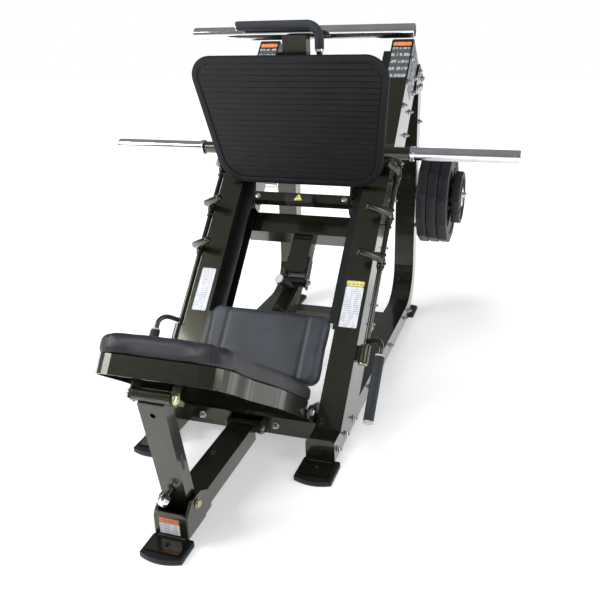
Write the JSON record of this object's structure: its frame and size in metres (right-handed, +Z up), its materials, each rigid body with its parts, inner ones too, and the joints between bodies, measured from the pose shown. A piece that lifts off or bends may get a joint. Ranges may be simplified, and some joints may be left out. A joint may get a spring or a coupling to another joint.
{
  "type": "leg press machine",
  "caption": "Plate-loaded angled leg press with a sliding foot-plate carriage, safety catches, an angled seat and a padded bench on a folding leg.",
  "frame": {"origin": "on the floor under the middle of the whole machine", "axes": "+X to the machine's side, across the rails; +Y from the bench towards the uprights; +Z up"},
  "size_m": [1.697, 2.255, 1.4199],
  "materials": {
    "paint": "dark metallic gloss powder coat",
    "black_steel": "satin black",
    "chrome": "polished hard chrome",
    "zinc": "bright zinc plate",
    "brass": "yellow zinc plate",
    "rubber": "matt",
    "foam": "closed-cell foam",
    "leather": "fine-grained synthetic leather",
    "roller_nylon": "nylon"
  },
  "bodies": {
    "main_frame": {"left_rail": "paint", "left_base_post": "paint", "left_guide_channel": "black_steel", "left_front_foot": "paint", "left_front_foot_pad": "rubber", "left_rear_foot_pad": "rubber", "left_storage_peg": "zinc", "left_shaft_housing": "paint", "left_bench_bracket": "paint", "right_rail": "paint", "right_base_post": "paint", "right_guide_channel": "black_steel", "right_front_foot": "paint", "right_front_foot_pad": "rubber", "right_rear_foot_pad": "rubber", "right_storage_peg": "zinc", "right_shaft_housing": "paint", "right_bench_bracket": "paint", "mid_cross_beam": "paint", "front_cross_member": "paint", "rear_cross_member": "paint", "floor_cross_member": "paint", "center_column": "paint", "storage_plate_large_1": "rubber", "storage_plate_large_2": "rubber", "storage_plate_large_3": "rubber", "storage_plate_small": "rubber", "floor_hinge_ears": "paint", "floor_hinge_pin": "zinc"},
    "carriage": {"horn_tube": "paint", "left_horn_sleeve": "chrome", "right_horn_sleeve": "chrome", "carriage_spine": "paint", "top_bar": "chrome", "foot_plate": "paint", "foot_mat": "rubber", "carriage_frame": "paint", "loading_handle": "paint", "loading_handle_foam": "foam"},
    "left_lower_roller": {"left_lower_roller": "roller_nylon"},
    "left_upper_roller": {"left_upper_roller": "roller_nylon"},
    "right_lower_roller": {"right_lower_roller": "roller_nylon"},
    "right_upper_roller": {"right_upper_roller": "roller_nylon"},
    "left_catches": {"left_safety_shaft": "paint", "left_safety_grip": "foam"},
    "right_catches": {"right_safety_shaft": "paint", "right_safety_grip": "foam"},
    "seat": {"seat_pad": "leather", "seat_plate": "black_steel", "seat_arm": "paint"},
    "seat_lock": {"seat_lock_handle": "rubber"},
    "backrest": {"bench_pad": "leather", "bench_tray": "paint", "leg_hinge_ears": "paint", "leg_top_bolt": "brass"},
    "bench_leg": {"front_leg": "paint"},
    "bench_base": {"floor_tube": "paint", "front_foot_pad": "rubber", "leg_foot_bolt": "brass"},
    "leg_lock": {"leg_lock_pin": "chrome"}
  },
  "joints": [
    {"name": "carriage_slide", "type": "slide", "parent": "main_frame", "child": "carriage", "axis": [0, 0.6947, 0.7193], "range_m": [0, 0.34]},
    {"name": "left_lower_roller_spin", "type": "hinge", "parent": "carriage", "child": "left_lower_roller", "pos_m": [0, 0.24558, 0.70929], "axis": [-1, 0, 0], "continuous": true},
    {"name": "left_upper_roller_spin", "type": "hinge", "parent": "carriage", "child": "left_upper_roller", "pos_m": [0, 0.48871, 0.96106], "axis": [-1, 0, 0], "continuous": true},
    {"name": "right_lower_roller_spin", "type": "hinge", "parent": "carriage", "child": "right_lower_roller", "pos_m": [0, 0.24558, 0.70929], "axis": [-1, 0, 0], "continuous": true},
    {"name": "right_upper_roller_spin", "type": "hinge", "parent": "carriage", "child": "right_upper_roller", "pos_m": [0, 0.48871, 0.96106], "axis": [-1, 0, 0], "continuous": true},
    {"name": "left_catch_turn", "type": "hinge", "parent": "main_frame", "child": "left_catches", "pos_m": [-0.379, -0.2406, 0.28214], "axis": [0, -0.6947, -0.7193], "range_deg": [0, 80]},
    {"name": "right_catch_turn", "type": "hinge", "parent": "main_frame", "child": "right_catches", "pos_m": [0.379, -0.2406, 0.28214], "axis": [0, 0.6947, 0.7193], "range_deg": [0, 80]},
    {"name": "seat_fold", "type": "hinge", "parent": "main_frame", "child": "seat", "pos_m": [0, 0.11284, 0.41348], "axis": [-1, 0, 0], "range_deg": [0, 12]},
    {"name": "seat_lock_pull", "type": "slide", "parent": "seat", "child": "seat_lock", "axis": [-0.3011, -0.7226, 0.6222], "range_m": [0, 0.012], "stiffness_N_per_m": 900},
    {"name": "backrest_fold", "type": "hinge", "parent": "main_frame", "child": "backrest", "pos_m": [0, -0.47836, 0.17009], "axis": [-1, 0, 0], "range_deg": [0, 12]},
    {"name": "leg_pivot", "type": "hinge", "parent": "backrest", "child": "bench_leg", "pos_m": [0, -1.04529, 0.50376], "axis": [-1, 0, 0], "range_deg": [-4, 1]},
    {"name": "base_pivot", "type": "hinge", "parent": "main_frame", "child": "bench_base", "pos_m": [0, -0.4775, 0.075], "axis": [-1, 0, 0], "range_deg": [-1, 15]},
    {"name": "leg_lock_pull", "type": "slide", "parent": "bench_leg", "child": "leg_lock", "axis": [0, -0.9812, -0.1929], "range_m": [0, 0.01], "stiffness_N_per_m": 900}
  ],
  "couplings": [
    {"joint": "left_lower_roller_spin", "follows": "carriage_slide", "rad_per_m": 32.787},
    {"joint": "left_upper_roller_spin", "follows": "carriage_slide", "rad_per_m": 32.787},
    {"joint": "right_lower_roller_spin", "follows": "carriage_slide", "rad_per_m": 32.787},
    {"joint": "right_upper_roller_spin", "follows": "carriage_slide", "rad_per_m": 32.787},
    {"joint": "leg_pivot", "follows": "backrest_fold", "ratio": -0.2419},
    {"joint": "base_pivot", "follows": "backrest_fold", "ratio": 1.0239}
  ]
}
